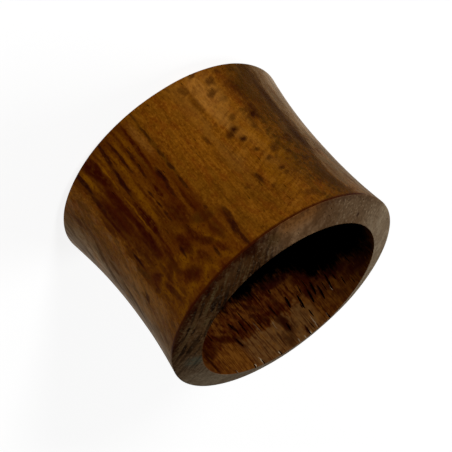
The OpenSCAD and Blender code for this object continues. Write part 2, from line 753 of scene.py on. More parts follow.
class Finish(Graph):
    """The nodes of one finish of the wood. Its places are in mm."""

    def __init__(self, material):
        material.use_nodes = True
        material.node_tree.nodes.clear()
        super().__init__(material.node_tree)
        self.name = material.name
        self.place = self.add("ShaderNodeTexCoord", {}, {}, "Object") * (1 / MM)
        self.x, self.y, self.height = self.place.parts()
        self.fibres = self.grain(0.1, 1.8, 3.0).fade(0.34, 0.66)
        self.streaks = self.grain(0.42, 7.0, 2.0, 5.0).fade(0.36, 0.64)
        self.flecks = self.grain(0.26, 0.4, 3.0, 3.0).fade(0.34, 0.66)
        self.clouds = self.grain(1.2, 2.6, 2.0, 9.0).fade(0.4, 0.62)
        self.ragged = (self.flecks * 0.6 + self.fibres * 0.35 + 0.3).clamped()

    def grain(self, across, along, detail=2.0, shift=0.0):
        """Solid noise drawn out along the bore: about so many mm across a streak and along it."""
        stretched = self.place * (1 / across, 1 / across, 1 / along)
        return self.noise(stretched + (shift, shift, shift), detail)

    def turn_from_front(self):
        """Degrees round the axis from the side that faces the camera, from -180 to 180."""
        return (self.x * -1.0).work("ARCTAN2", self.y * -1.0) * DEGREE

    def turn_in_bore(self):
        """The same degrees from 0 to 360, so that the bore's chart has no jump in the middle."""
        return self.x.work("ARCTAN2", self.y) * DEGREE + 180.0

    def coats(self, ground, *layers):
        """A ground colour with each (colour, share) laid over what is under it."""
        for colour, share in layers:
            ground = self.blend(ground, colour, share)
        return ground

    def done(self, colour, roughness, relief):
        """The surface of the finish. The relief is the height of its bump, in shares of RELIEF_DEPTH."""
        bump = self.add("ShaderNodeBump", {}, {"Strength": 0.5, "Distance": RELIEF_DEPTH, "Height": relief})
        sockets = {"Base Color": colour, "Roughness": roughness, "Normal": bump}
        sockets["Specular IOR Level"] = GLOSS
        surface = self.add("ShaderNodeBsdfPrincipled", {}, sockets)
        self.add("ShaderNodeOutputMaterial", {}, {"Surface": surface})
        print(f"{self.name}: {len(self.tree.nodes)} nodes")


# %% [markdown]
# Marks from a chart
# Each mark is a slim ellipse on the unrolled wall. How far along it and how far across it a point lies are
# two dot products, because the wall's third number is 1 and carries the mark's own place. The squares of
# the two add up to 1 at the mark's edge. Noise shifts the wall a little first, which frays the marks.

# %% Lay a chart of marks on the wood
# Millimetres to a degree of turn, on the wall and in the bore
WALL_ARC = 0.16
BORE_ARC = 0.131


def unrolled(finish, turn, arc, fray):
    """The wall laid flat, in mm, with the turn across and the height up, shifted a little by noise."""
    wavering = finish.place * (4.0, 4.0, 1.4)
    aside = (finish.noise(wavering, 3.0) - 0.5) * fray
    upward = (finish.noise(wavering + (7.0, 7.0, 7.0), 3.0) - 0.5) * fray
    return finish.vector(turn * arc + aside, finish.height + upward, 1.0)


def laid_on(chart, wall, arc, core=0.02):
    """How strongly the chart's marks show at a point. A mark is full inside its core.

    The two ends of a mark are never the same, because they give it its run."""
    shown = None
    for turn_a, height_a, turn_b, height_b, half_width, strength in chart:
        start, end = Vector((turn_a * arc, height_a)), Vector((turn_b * arc, height_b))
        middle = (start + end) / 2
        run = (end - start).normalized()
        half_length = (end - start).length / 2 + half_width
        lengthways, sideways = run / half_length, run.orthogonal() / half_width
        along = wall.work("DOT_PRODUCT", (*lengthways, -middle.dot(lengthways)), output="Value")
        across = wall.work("DOT_PRODUCT", (*sideways, -middle.dot(sideways)), output="Value")
        mark = (across * across + along * along).fade(1.0, core, strength)
        shown = mark if shown is None else shown.larger(mark)
    return shown


# %% [markdown]
# The wall's charts
# A row gives the turn and height where a mark starts, the same where it ends, half its width in mm and
# its strength. The black lines are vessels that filled with dark gum, and the red and olive ones are stain.
# On the real one most of them lie on the heart side, and the dots on the honey side.

# %% The wall laid flat
wall = Finish(oiled_wall)
turn = wall.turn_from_front()
outer = unrolled(wall, turn, WALL_ARC, 0.34)
print(f"{wall.name}: {len(wall.tree.nodes)} nodes for its places and its grain")

# %% Black lines of gum
WALL_BLACK = [
    (-37.2, 0.5, -38.8, 2.8, 0.27, 1.0),
    (-39.2, 2.4, -40.4, 4.4, 0.26, 0.7),
    (-20.0, 0.5, -22.2, 2.9, 0.21, 1.0),
    (-22.0, 2.4, -24.8, 5.6, 0.22, 1.0),
    (-16.2, 0.8, -17.0, 4.8, 0.14, 0.9),
    (-17.0, 5.9, -16.8, 6.7, 0.12, 0.85),
    (-16.8, 6.8, -16.6, 7.7, 0.13, 0.85),
    (-17.2, 7.8, -17.0, 9.0, 0.14, 0.8),
    (-12.4, 2.5, -12.8, 3.8, 0.14, 0.85),
    (-12.9, 3.7, -13.6, 5.3, 0.14, 0.8),
    (-7.6, 5.1, -7.9, 6.6, 0.24, 1.0),
    (-8.2, 6.3, -9.2, 7.9, 0.2, 0.85),
    (-43.6, 7.7, -43.8, 9.3, 0.17, 0.95),
    (-21.8, 10.6, -22.2, 11.6, 0.18, 0.85),
    (4.0, 10.6, 3.4, 12.2, 0.26, 0.7),
    (3.0, 11.6, 1.6, 13.2, 0.3, 0.9),
    (1.8, 12.9, 2.4, 14.6, 0.2, 0.8),
    (24.4, 10.0, 24.8, 10.9, 0.18, 0.35),
    (44.4, 5.5, 46.0, 5.3, 0.22, 0.7),
    (30.6, 6.1, 31.2, 6.0, 0.16, 0.7),
    (31.2, 7.1, 32.2, 7.0, 0.14, 0.7),
    (-2.0, 9.8, -2.0, 10.0, 0.14, 0.7),
    (-10.0, 12.6, -9.8, 13.6, 0.2, 0.75),
    (-1.0, 0.7, -1.3, 1.7, 0.12, 0.55),
    (-1.4, 2.0, -1.7, 3.4, 0.14, 0.7),
    (-1.8, 4.0, -2.0, 5.0, 0.14, 0.7),
    (-2.1, 5.3, -2.2, 6.3, 0.15, 0.75),
    (-2.4, 6.6, -2.6, 8.0, 0.14, 0.7),
]
black_marks = laid_on(WALL_BLACK, outer, WALL_ARC, 0.12)
print(len(WALL_BLACK), "black lines")

# %% Red lines
WALL_RED = [
    (-31.4, 0.6, -28.4, 3.4, 0.56, 1.0),
    (-29.8, 0.8, -28.8, 2.8, 0.4, 1.0),
    (-28.0, 0.7, -27.0, 2.2, 0.25, 0.9),
    (-31.5, 3.2, -31.5, 6.5, 0.4, 0.8),
    (-37.9, 3.4, -38.9, 6.6, 0.4, 0.7),
    (-40.8, 3.0, -41.6, 6.2, 0.3, 0.7),
    (-33.5, 4.0, -35.0, 7.0, 0.3, 0.5),
    (-30.8, 6.0, -31.0, 9.9, 0.36, 1.0),
    (-33.0, 7.4, -33.5, 10.2, 0.35, 0.7),
    (-40.0, 7.0, -39.0, 10.0, 0.4, 0.5),
    (-25.2, 5.2, -26.2, 9.4, 0.3, 1.0),
    (-25.4, 6.8, -25.8, 9.0, 0.36, 1.0),
    (-28.4, 9.6, -28.6, 11.9, 0.22, 0.75),
    (-31.0, 10.8, -33.0, 11.6, 0.3, 0.55),
    (-7.6, 0.6, -9.0, 5.2, 0.2, 0.95),
    (-12.2, 0.8, -12.4, 2.6, 0.12, 0.5),
    (-18.4, 4.6, -19.0, 9.4, 0.12, 0.55),
    (-5.6, 7.2, -6.2, 10.0, 0.16, 0.7),
    (-13.7, 5.6, -13.1, 7.2, 0.2, 0.95),
    (-15.0, 5.6, -15.2, 9.4, 0.12, 0.5),
    (-20.4, 6.6, -20.2, 8.6, 0.14, 0.5),
    (-13.0, 8.0, -11.0, 9.9, 0.6, 0.6),
    (-19.8, 10.0, -18.8, 11.8, 0.5, 0.72),
    (-13.9, 9.7, -12.8, 11.7, 0.38, 0.8),
    (-12.6, 11.5, -8.6, 12.3, 0.42, 0.76),
    (-24.8, 12.8, -22.6, 13.0, 0.6, 0.66),
    (-27.0, 12.4, -25.0, 12.8, 0.34, 0.5),
    (-16.2, 12.1, -13.8, 13.5, 0.38, 0.66),
    (-38.6, 11.5, -36.2, 13.6, 0.32, 0.7),
    (-40.4, 10.4, -37.2, 11.0, 0.18, 0.55),
    (-43.0, 11.9, -42.4, 12.6, 0.2, 0.5),
    (-33.4, 12.6, -32.6, 13.6, 0.2, 0.5),
    (-31.0, 10.4, -28.4, 12.4, 0.3, 0.6),
    (-8.4, 12.2, -5.6, 13.8, 0.24, 0.6),
    (-34.6, 10.0, -35.2, 12.0, 0.24, 0.6),
    (-46.2, 11.1, -44.4, 11.3, 0.28, 0.55),
    (-55.6, 10.7, -54.4, 10.4, 0.3, 0.6),
    (7.0, 0.6, 8.0, 14.4, 0.1, 0.2),
    (10.4, 1.2, 10.0, 9.0, 0.14, 0.25),
    (21.4, 6.0, 21.8, 9.4, 0.12, 0.3),
    (13.6, 2.0, 13.8, 7.0, 0.1, 0.2),
]
red_marks = laid_on(WALL_RED, outer, WALL_ARC, 0.12)
print(len(WALL_RED), "red lines")

# %% Dots on the honey side
WALL_DOTS = [
    (17.4, 5.5, 17.8, 6.4, 0.24, 0.8),
    (16.8, 6.8, 17.2, 8.2, 0.24, 0.3),
    (16.8, 10.6, 18.4, 10.6, 0.22, 0.5),
    (22.4, 1.5, 23.8, 1.9, 0.42, 0.75),
    (24.0, 2.4, 24.6, 3.8, 0.42, 0.6),
    (24.8, 5.2, 25.8, 5.1, 0.2, 0.6),
    (24.3, 10.0, 24.8, 10.9, 0.34, 0.8),
    (26.2, 11.6, 28.2, 11.5, 0.22, 0.6),
    (27.2, 6.5, 28.8, 6.2, 0.44, 0.95),
    (30.0, 6.2, 31.8, 6.0, 0.44, 0.95),
    (31.0, 7.1, 32.6, 7.0, 0.34, 0.9),
    (33.0, 5.3, 35.4, 5.0, 0.3, 0.75),
    (32.4, 8.3, 34.2, 8.2, 0.24, 0.85),
    (34.4, 9.4, 36.4, 9.2, 0.26, 0.8),
    (36.0, 10.5, 38.0, 10.4, 0.24, 0.85),
    (35.8, 11.0, 38.0, 10.9, 0.2, 0.7),
    (38.6, 9.5, 39.8, 9.3, 0.2, 0.5),
    (40.4, 8.8, 43.4, 8.4, 0.42, 0.9),
    (42.2, 9.9, 43.8, 9.8, 0.2, 0.5),
    (42.8, 5.0, 45.4, 4.8, 0.3, 0.6),
    (43.4, 5.6, 47.0, 5.2, 0.5, 0.95),
    (46.8, 4.8, 49.0, 4.6, 0.24, 0.5),
    (40.6, 6.4, 42.8, 6.2, 0.36, 0.5),
    (46.4, 9.3, 48.6, 9.2, 0.22, 0.65),
    (49.0, 8.0, 50.4, 8.0, 0.28, 0.5),
    (52.6, 8.1, 54.6, 7.8, 0.44, 0.85),
    (44.0, 10.5, 47.0, 10.6, 0.34, 0.5),
    (50.8, 10.3, 53.8, 10.1, 0.36, 0.6),
    (46.4, 12.0, 48.8, 11.9, 0.22, 0.55),
    (46.0, 12.7, 48.6, 12.5, 0.26, 0.55),
    (36.2, 13.2, 40.4, 13.4, 0.4, 0.6),
    (44.0, 2.2, 46.0, 3.3, 0.5, 0.5),
    (35.2, 1.9, 37.6, 1.7, 0.4, 0.8),
    (32.2, 2.9, 34.6, 2.6, 0.42, 0.8),
    (29.4, 0.9, 31.6, 0.8, 0.26, 0.8),
    (35.8, 3.5, 37.6, 3.5, 0.34, 0.4),
    (41.8, 1.2, 43.6, 1.3, 0.26, 0.6),
    (44.8, 2.2, 45.4, 2.3, 0.2, 0.7),
]
dots = laid_on(WALL_DOTS, outer, WALL_ARC, 0.0)
print(len(WALL_DOTS), "dots")

# %% Dark heartwood
WALL_HEART = [
    (-39.6, 3.2, -40.6, 6.6, 0.5, 0.9),
    (-36.6, 3.4, -37.8, 7.2, 0.45, 0.75),
    (-34.0, 4.4, -35.0, 8.2, 0.35, 0.55),
    (-32.0, 3.0, -32.8, 6.6, 0.4, 0.7),
    (-37.8, 7.6, -36.8, 10.0, 0.7, 0.25),
    (-32.6, 7.0, -32.0, 10.4, 0.42, 0.7),
    (-29.5, 0.4, -30.5, 9.6, 0.5, 0.75),
    (-26.5, 9.0, -29.5, 11.6, 0.4, 0.6),
    (-13.5, 7.8, -10.5, 9.8, 0.8, 0.8),
    (-4.0, 5.8, -3.2, 13.8, 0.55, 0.7),
    (-9.0, 4.6, -9.6, 8.4, 0.4, 0.6),
    (-19.5, 10.2, -10.5, 12.0, 0.6, 0.65),
    (-25.0, 12.8, -22.0, 13.0, 0.8, 0.6),
    (-6.8, 10.0, -2.6, 12.4, 0.7, 0.6),
    (1.6, 10.4, 2.4, 14.6, 0.5, 0.8),
    (43.0, 0.8, 47.0, 6.0, 0.7, 0.55),
    (-46.6, 8.6, -44.8, 10.6, 0.4, 0.25),
    (-58.6, 1.0, -57.2, 4.4, 0.35, 0.5),
]
heart_marks = laid_on(WALL_HEART, outer, WALL_ARC, 0.2)
print(len(WALL_HEART), "dark streaks")

# %% Olive streaks
WALL_OLIVE = [
    (-1.3, 0.6, -2.4, 8.4, 0.2, 0.7),
    (-1.5, 2.2, -1.7, 3.4, 0.2, 0.9),
    (-1.9, 4.2, -2.0, 4.9, 0.18, 0.9),
    (-2.2, 5.4, -2.2, 6.2, 0.19, 0.95),
    (-2.4, 6.5, -2.5, 8.0, 0.18, 0.9),
    (-14.8, 8.0, -13.0, 9.4, 0.34, 0.6),
    (-7.6, 10.1, -2.6, 10.6, 0.56, 0.95),
    (-5.0, 10.8, -3.4, 12.8, 0.32, 0.6),
    (-10.5, 3.0, -10.0, 5.2, 0.2, 0.35),
    (-57.0, 2.0, -59.0, 3.0, 0.3, 0.4),
    (-53.8, 2.4, -57.0, 3.4, 0.24, 0.8),
    (-59.0, 4.2, -68.0, 5.8, 0.3, 0.9),
    (-67.0, 5.6, -74.0, 7.6, 0.28, 0.85),
    (-62.0, 6.0, -63.6, 7.1, 0.3, 0.9),
    (-64.4, 7.0, -70.6, 10.4, 0.28, 0.95),
    (-69.0, 9.0, -74.0, 11.8, 0.26, 0.7),
    (-54.0, 10.2, -56.0, 10.8, 0.24, 0.8),
    (-48.0, 8.6, -44.6, 10.2, 0.3, 0.7),
    (-73.0, 3.2, -76.0, 3.8, 0.3, 0.4),
    (-73.5, 4.2, -77.0, 4.6, 0.2, 0.4),
    (-51.0, 2.6, -46.0, 1.8, 0.3, 0.3),
    (-66.0, 5.2, -72.4, 6.8, 0.24, 0.9),
    (-48.6, 1.4, -46.8, 3.2, 0.24, 0.6),
    (-51.4, 2.6, -53.0, 4.4, 0.2, 0.5),
    (-66.0, 11.8, -62.0, 12.6, 0.3, 0.4),
    (66.0, 1.4, 68.0, 2.0, 0.3, 0.4),
    (67.0, 0.6, 68.4, 5.6, 1.1, 0.32),
    (68.0, 8.8, 70.0, 9.2, 0.3, 0.5),
    (52.0, 11.0, 55.0, 13.4, 0.8, 0.6),
    (57.8, 1.5, 60.0, 2.2, 0.4, 0.6),
    (65.2, 5.2, 67.0, 5.3, 0.26, 0.55),
    (60.8, 5.0, 61.2, 7.0, 0.3, 0.5),
]
olive_marks = laid_on(WALL_OLIVE, outer, WALL_ARC, 0.2)
print(len(WALL_OLIVE), "olive streaks")

# %% Pale patches, partly painted sheen
WALL_PALE_AND_SHEEN = [
    (29.5, 0.4, 28.6, 4.4, 0.85, 0.66),
    (27.6, 1.4, 30.5, 6.4, 0.6, 0.52),
    (33.2, 1.2, 34.0, 4.6, 0.8, 0.35),
    (32.6, 6.0, 38.0, 8.6, 0.6, 0.2),
    (-5.0, 1.0, -4.4, 4.4, 0.4, 0.25),
    (-57.0, 7.0, -50.0, 13.0, 1.0, 0.35),
    (-66.0, 7.4, -60.0, 13.0, 0.9, 0.4),
    (-78.0, 4.8, -68.0, 4.2, 0.5, 0.4),
    (-72.0, 8.0, -70.0, 8.4, 0.3, 0.4),
]
pale_and_sheen_marks = laid_on(WALL_PALE_AND_SHEEN, outer, WALL_ARC, 0.0)
print(len(WALL_PALE_AND_SHEEN), "pale patches")

# %% Amber lines
WALL_AMBER = [
    (-35.2, 0.8, -35.6, 2.9, 0.34, 0.95),
    (-25.2, 1.4, -27.4, 4.4, 0.13, 0.9),
    (-27.4, 4.0, -27.8, 8.6, 0.12, 0.9),
    (-23.4, 1.0, -23.8, 3.0, 0.14, 0.7),
    (-20.0, 3.8, -22.6, 8.6, 0.34, 0.7),
    (-18.6, 1.2, -19.4, 5.2, 0.2, 0.7),
    (-14.6, 1.0, -15.0, 4.6, 0.2, 0.6),
    (-10.4, 1.0, -10.8, 4.0, 0.2, 0.5),
    (-28.0, 13.7, -22.0, 13.9, 0.24, 0.8),
    (-20.6, 11.7, -16.0, 12.4, 0.24, 0.8),
    (-16.4, 12.4, -12.0, 14.0, 0.24, 0.7),
    (-12.0, 10.4, -9.0, 11.2, 0.2, 0.6),
    (-32.0, 12.6, -28.4, 13.6, 0.4, 0.7),
    (-34.0, 11.0, -37.4, 11.4, 0.24, 0.7),
    (-42.0, 11.6, -40.4, 14.0, 0.5, 0.7),
    (-35.6, 12.0, -34.6, 14.0, 0.4, 0.6),
    (-26.6, 10.4, -23.6, 12.0, 0.24, 0.7),
    (-40.8, 8.2, -39.6, 10.0, 0.24, 0.5),
    (34.0, 5.6, 45.0, 10.8, 0.9, 0.6),
    (30.0, 8.6, 34.0, 13.2, 0.8, 0.5),
]
amber_marks = laid_on(WALL_AMBER, outer, WALL_ARC)
print(len(WALL_AMBER), "amber lines")

# %% Olive band
WALL_OLIVE_BAND = [
    (61.0, 0.2, 62.2, 9.6, 0.6, 0.85),
    (62.0, 2.8, 62.2, 4.9, 0.5, 1.0),
    (60.6, 6.9, 61.2, 9.0, 0.55, 1.0),
    (53.5, 11.0, 54.5, 13.4, 0.6, 0.5),
    (57.5, 0.8, 58.5, 2.8, 0.5, 0.6),
    (48.6, 1.0, 53.0, 6.0, 1.1, 0.4),
]
olive_band = laid_on(WALL_OLIVE_BAND, outer, WALL_ARC, 0.0)
print(len(WALL_OLIVE_BAND), "parts of the olive band")

# %% [markdown]
# Figure across the grain
# Where the fibres wave towards and away from the surface, the wood shines in slanting bars. They are
# noise that is drawn out across the grain instead of along it, and only the honey side has them.
# On the pale side the grain itself runs out of the wall at a slant, and its streaks with it.

# %% Slanting bars and streaks
side, up_wall, _ = outer.parts()
bars = wall.noise(wall.vector(side * 0.8, (up_wall + side * 0.45) * 3.6, 0.0), 3.0)
figured = turn.fade(16.0, 27.0) * turn.fade(57.0, 36.0)
SLANT = math.radians(30)
over_slant = side * math.cos(SLANT) + up_wall * math.sin(SLANT)
with_slant = up_wall * math.cos(SLANT) - side * math.sin(SLANT)
slanting = wall.noise(wall.vector(over_slant * 2.4, with_slant * 0.5, 0.0), 3.0)
print(f"{wall.name}: {len(wall.tree.nodes)} nodes so far")

# %% [markdown]
# Coats on the wall
# Each zone is a mask round the axis: the heart side, the bright honey side, the brown side and the back,
# which the photograph doesn't show. Noise shifts the masks, so that no zone ends on a ruled line. Along its
# two flanks the real wall shines pale. A shine that is painted by the camera's place would slide as the
# view turns, so that sheen is painted into the wood's colour as a pale streak, which frays out towards the
# back.
# The paler wood on the flanks carries painted sheen as well, and so does the bright honey side low on the
# wall. Towards the front rim the wall is painted darker, as painted shade.

# %% Colour of the outer wall
ragged_turn = turn + (wall.clouds - 0.5) * 7.0 + (wall.flecks - 0.5) * 4.0
back_side = turn.size().fade(86.0, 104.0)
# Paler wood and painted sheen on the flanks, from about 50 degrees of turn outwards
pale_and_sheen_sides = ragged_turn.size().fade(50.0, 74.0) * (ragged_turn.size() - wall.streaks * 14.0).fade(106.0, 82.0)
# Painted sheen: a pale streak along each flank, where the real wall shines at a grazing angle
painted_sheen_edges = turn.fade(-64.0, -80.0).larger(turn.fade(70.0, 88.0))
painted_sheen_edges = painted_sheen_edges * (turn.size() - wall.streaks * 12.0).fade(96.0, 80.0)
slanting_side = ragged_turn.fade(-43.0, -54.0) * ragged_turn.fade(-110.0, -88.0)
heart_side = ragged_turn.fade(-49.0, -41.0) * ragged_turn.fade(5.0, -11.0)
brown_edge = ragged_turn + wall.height.fade(8.0, 12.5) * 9.0
brown_side = ragged_turn.fade(39.0, 52.0) * brown_edge.fade(69.0, 63.0)
# The bright honey side, where a painted sheen lies low on the wall
honey_and_sheen_side = turn.fade(12.0, 24.0) * turn.fade(48.0, 36.0) * wall.height.fade(12.0, 8.0)
loops = (wall.grain(1.5, 1.7, 0.0, 50.0) - 0.5).size().fade(0.18, 0.0)
looped_side = heart_side * wall.height.fade(9.2, 10.6)
sound = (wall.fibres * 0.4 + wall.streaks * 0.3 + wall.flecks * 0.4).clamped()
speckle = wall.grain(0.14, 0.2, 2.0, 40.0)
patches = wall.grain(0.5, 1.0, 2.0, 17.0).fade(0.5, 0.64)
back_heart = back_side * wall.grain(3.2, 60.0, 1.0, 60.0).fade(0.44, 0.56)
veins = wall.grain(0.5, 8.0, 2.0, 14.0)
front_edge = wall.height.fade(14.25, 14.45) * turn.size().fade(76.0, 60.0)
wall_colour = wall.coats(
    DEEP_HONEY,
    (HONEY, sound),
    (RUST, patches * 0.5),
    (BRIGHT_HONEY, speckle.fade(0.46, 0.3) * 0.45),
    # Paler wood and painted sheen on the flanks
    (SIDE_TAN_AND_SHEEN, pale_and_sheen_sides * (0.9 - patches * 0.35)),
    # Painted sheen along the flanks
    (PAINTED_SHEEN_TAN, painted_sheen_edges * 0.85),
    (OLIVE, wall.clouds * (0.24 + pale_and_sheen_sides * 0.12)),
    # Painted sheen with paler wood on the bright honey side
    (PALE_TAN_AND_SHEEN, honey_and_sheen_side * wall.clouds * 0.17),
    (STREAK_BROWN, pale_and_sheen_sides * (0.35 - wall.streaks * 0.35)),
    (STREAK_BROWN, slanting_side * slanting.fade(0.5, 0.62) * 0.55),
    # Pale slanting streaks, stronger where the flank's painted sheen lies
    (SIDE_TAN_AND_SHEEN, slanting_side * (0.08 + slanting.fade(0.48, 0.32) * (0.15 + pale_and_sheen_sides * 0.35))),
    (HEART, heart_side * (0.4 + wall.streaks * 0.45 + wall.flecks * 0.25).clamped()),
    (BROWN, brown_side * (0.55 + wall.flecks * 0.4).clamped()),
    (HEART, back_heart * (0.45 + wall.streaks * 0.4 + wall.flecks * 0.15)),
    (DARK_RED, veins.fade(0.54, 0.64) * (back_heart * 0.7 + back_side * 0.2)),
    (BLACK_BROWN, back_side * veins.fade(0.63, 0.69) * 0.9),
    (AMBER, amber_marks * (0.4 + wall.flecks * 0.6)),
    (RUST, looped_side * 0.25),
    (DARK_HEART, looped_side * patches * 0.55),
    (AMBER, looped_side * loops * (0.2 + wall.flecks * 0.6)),
    # Pale patches: paler wood and painted sheen
    (PALE_TAN_AND_SHEEN, pale_and_sheen_marks * (0.5 + wall.flecks * 0.5)),
    (BRIGHT_HONEY, figured * bars.fade(0.5, 0.68) * 0.4),
    (HEART, figured * bars.fade(0.48, 0.32) * 0.4),
    (BLACK_OLIVE, olive_band * (0.6 + wall.ragged).clamped()),
    (STREAK_BROWN, olive_marks * (0.2 + wall.ragged).clamped() * 0.85),
    (DARK_HEART, heart_marks * (wall.streaks * 0.6 + wall.flecks * 0.4 + 0.15).clamped()),
    (GUM_BROWN, dots * (0.2 + wall.ragged).clamped() * 0.9),
    (DARK_RED, red_marks * (0.15 + wall.ragged).clamped()),
    (BLACK_BROWN, black_marks * (0.3 + wall.ragged).clamped()),
    (DARK_HEART, speckle.fade(0.54, 0.7) * (0.33 - honey_and_sheen_side * 0.12 + heart_side * 0.2)),
    (DARK_RED, front_edge * 0.85),
    # Painted shade: the wall grows darker towards the front rim, where it turns down away from the light
    (UNLIT, wall.height.fade(4.0, 13.0) * 0.2),
)
wall.done(wall_colour, 0.42 + wall.fibres * 0.1, wall.fibres * 0.5 + wall.flecks * 0.3)

# %% [markdown]
# The bore
# Inside, the tool tore the dry wood. It kept no oil, so it is a dull brown with fine dark scratches along
# the grain, and tan where it is smooth near the mouth. Its charts read as the wall's do, but their turns
# run from 0 to 360, with the side that the camera sees in the middle.

# %% Dark scratches in the bore
BORE_DARK = [
    (190.8, 12.9, 191.4, 10.6, 0.12, 0.9),
    (193.6, 13.0, 193.8, 12.0, 0.09, 0.8),
    (197.6, 13.1, 198.0, 11.6, 0.1, 0.7),
    (199.6, 13.0, 200.4, 11.4, 0.08, 0.7),
    (202.2, 12.9, 202.8, 10.8, 0.1, 0.8),
    (204.4, 12.8, 204.6, 11.4, 0.08, 0.6),
    (207.4, 12.6, 208.0, 10.8, 0.08, 0.6),
    (210.2, 13.1, 210.4, 12.2, 0.1, 0.7),
    (219.6, 13.4, 221.0, 12.2, 0.22, 0.8),
    (217.2, 11.9, 218.4, 10.9, 0.2, 0.8),
    (211.6, 12.6, 211.8, 11.1, 0.14, 0.8),
    (212.0, 11.1, 211.0, 10.2, 0.12, 0.8),
    (185.8, 13.6, 185.4, 13.0, 0.06, 0.5),
    (183.2, 15.2, 182.2, 14.3, 0.1, 0.6),
    (209.0, 14.9, 208.8, 14.0, 0.1, 0.5),
    (240.4, 14.8, 240.8, 13.2, 0.07, 0.6),
    (243.0, 14.9, 243.4, 13.4, 0.06, 0.5),
    (246.4, 14.9, 246.8, 13.8, 0.06, 0.5),
    (252.3, 15.2, 253.5, 13.2, 0.28, 0.9),
    (196.0, 11.4, 204.0, 10.2, 0.3, 0.5),
    (188.0, 12.6, 186.4, 10.6, 0.3, 0.5),
    (191.0, 15.3, 191.6, 13.2, 0.26, 0.65),
    (190.2, 14.2, 190.2, 12.6, 0.34, 0.75),
    (194.4, 15.4, 194.8, 14.0, 0.42, 0.65),
    (197.6, 15.0, 197.4, 13.4, 0.14, 0.5),
    (200.6, 14.4, 200.8, 13.2, 0.1, 0.4),
    (186.6, 14.4, 186.2, 13.4, 0.1, 0.4),
    (249.6, 13.6, 252.0, 12.6, 0.5, 0.8),
    (258.0, 15.0, 262.0, 14.4, 0.4, 0.35),
    (169.0, 15.0, 167.0, 13.6, 0.08, 0.6),
    (148.0, 14.8, 147.0, 13.6, 0.1, 0.5),
    (156.6, 13.9, 154.4, 12.5, 0.16, 0.8),
    (163.8, 14.0, 162.0, 12.6, 0.16, 0.8),
    (166.0, 13.2, 164.2, 12.0, 0.18, 0.8),
    (169.9, 13.6, 168.0, 12.2, 0.16, 0.8),
]
print(len(BORE_DARK), "dark scratches in the bore")

# %% Red patches in the bore
BORE_RED = [
    (214.0, 12.6, 240.0, 11.8, 0.5, 0.8),
    (236.0, 12.6, 264.0, 14.4, 0.6, 0.85),
    (238.0, 12.0, 252.0, 12.9, 0.6, 0.9),
    (251.5, 15.2, 254.5, 13.2, 0.42, 1.0),
    (186.0, 12.2, 200.0, 12.0, 0.5, 0.6),
    (206.0, 12.2, 216.0, 11.6, 0.5, 0.5),
    (162.0, 12.6, 172.0, 10.8, 0.6, 0.7),
    (219.0, 13.4, 222.0, 11.6, 0.3, 0.8),
    (183.4, 15.2, 182.6, 14.4, 0.14, 0.9),
    (200.0, 11.0, 203.0, 10.2, 0.3, 0.8),
    (189.0, 14.2, 191.4, 12.4, 0.46, 0.85),
]
print(len(BORE_RED), "red patches in the bore")

# %% Purple patches and painted shade in the bore
BORE_PURPLE_AND_SHADE = [
    (108.0, 14.9, 146.0, 13.9, 0.7, 0.9),
    (138.0, 13.6, 160.0, 12.4, 0.6, 0.9),
    (158.0, 13.5, 171.0, 12.4, 0.6, 0.6),
    (152.0, 14.8, 156.0, 14.2, 0.4, 0.4),
    (135.0, 15.4, 137.0, 13.8, 0.4, 0.6),
    (172.0, 10.4, 190.0, 9.8, 0.5, 0.8),
    (160.0, 12.0, 168.0, 10.6, 0.5, 0.8),
]
print(len(BORE_PURPLE_AND_SHADE), "purple patches in the bore")

# %% Amber patches in the bore
BORE_AMBER = [
    (226.0, 15.4, 229.0, 12.8, 1.0, 0.9),
    (234.0, 15.2, 238.0, 13.2, 0.6, 0.7),
    (173.0, 13.0, 177.0, 10.4, 0.6, 0.6),
    (182.0, 11.8, 184.0, 10.4, 0.5, 0.5),
    (204.0, 12.0, 208.0, 9.6, 0.5, 0.6),
    (229.0, 11.8, 223.0, 10.2, 0.6, 0.8),
    (256.0, 15.0, 262.0, 14.4, 0.3, 0.6),
]
print(len(BORE_AMBER), "amber patches in the bore")

# %% Painted glints and pale splinters at the mouth
BORE_GLINTS_AND_SPLINTERS = [
    (168.4, 15.3, 168.8, 14.8, 0.05, 0.9),
    (177.2, 15.3, 176.4, 14.0, 0.04, 0.7),
    (182.4, 15.3, 182.2, 15.0, 0.05, 0.9),
    (186.2, 15.3, 186.0, 15.0, 0.04, 0.6),
    (190.2, 15.3, 190.0, 14.9, 0.05, 0.7),
    (203.6, 15.3, 203.8, 14.9, 0.05, 0.9),
    (216.0, 15.3, 215.8, 14.5, 0.05, 0.9),
    (221.4, 15.3, 221.2, 15.0, 0.06, 0.9),
    (235.8, 15.3, 236.4, 15.0, 0.05, 0.6),
    (156.8, 14.0, 156.4, 13.4, 0.04, 0.7),
    (195.8, 13.4, 195.6, 12.4, 0.05, 0.2),
    (204.6, 13.0, 204.8, 11.8, 0.05, 0.15),
]
print(len(BORE_GLINTS_AND_SPLINTERS), "splinters at the mouth")
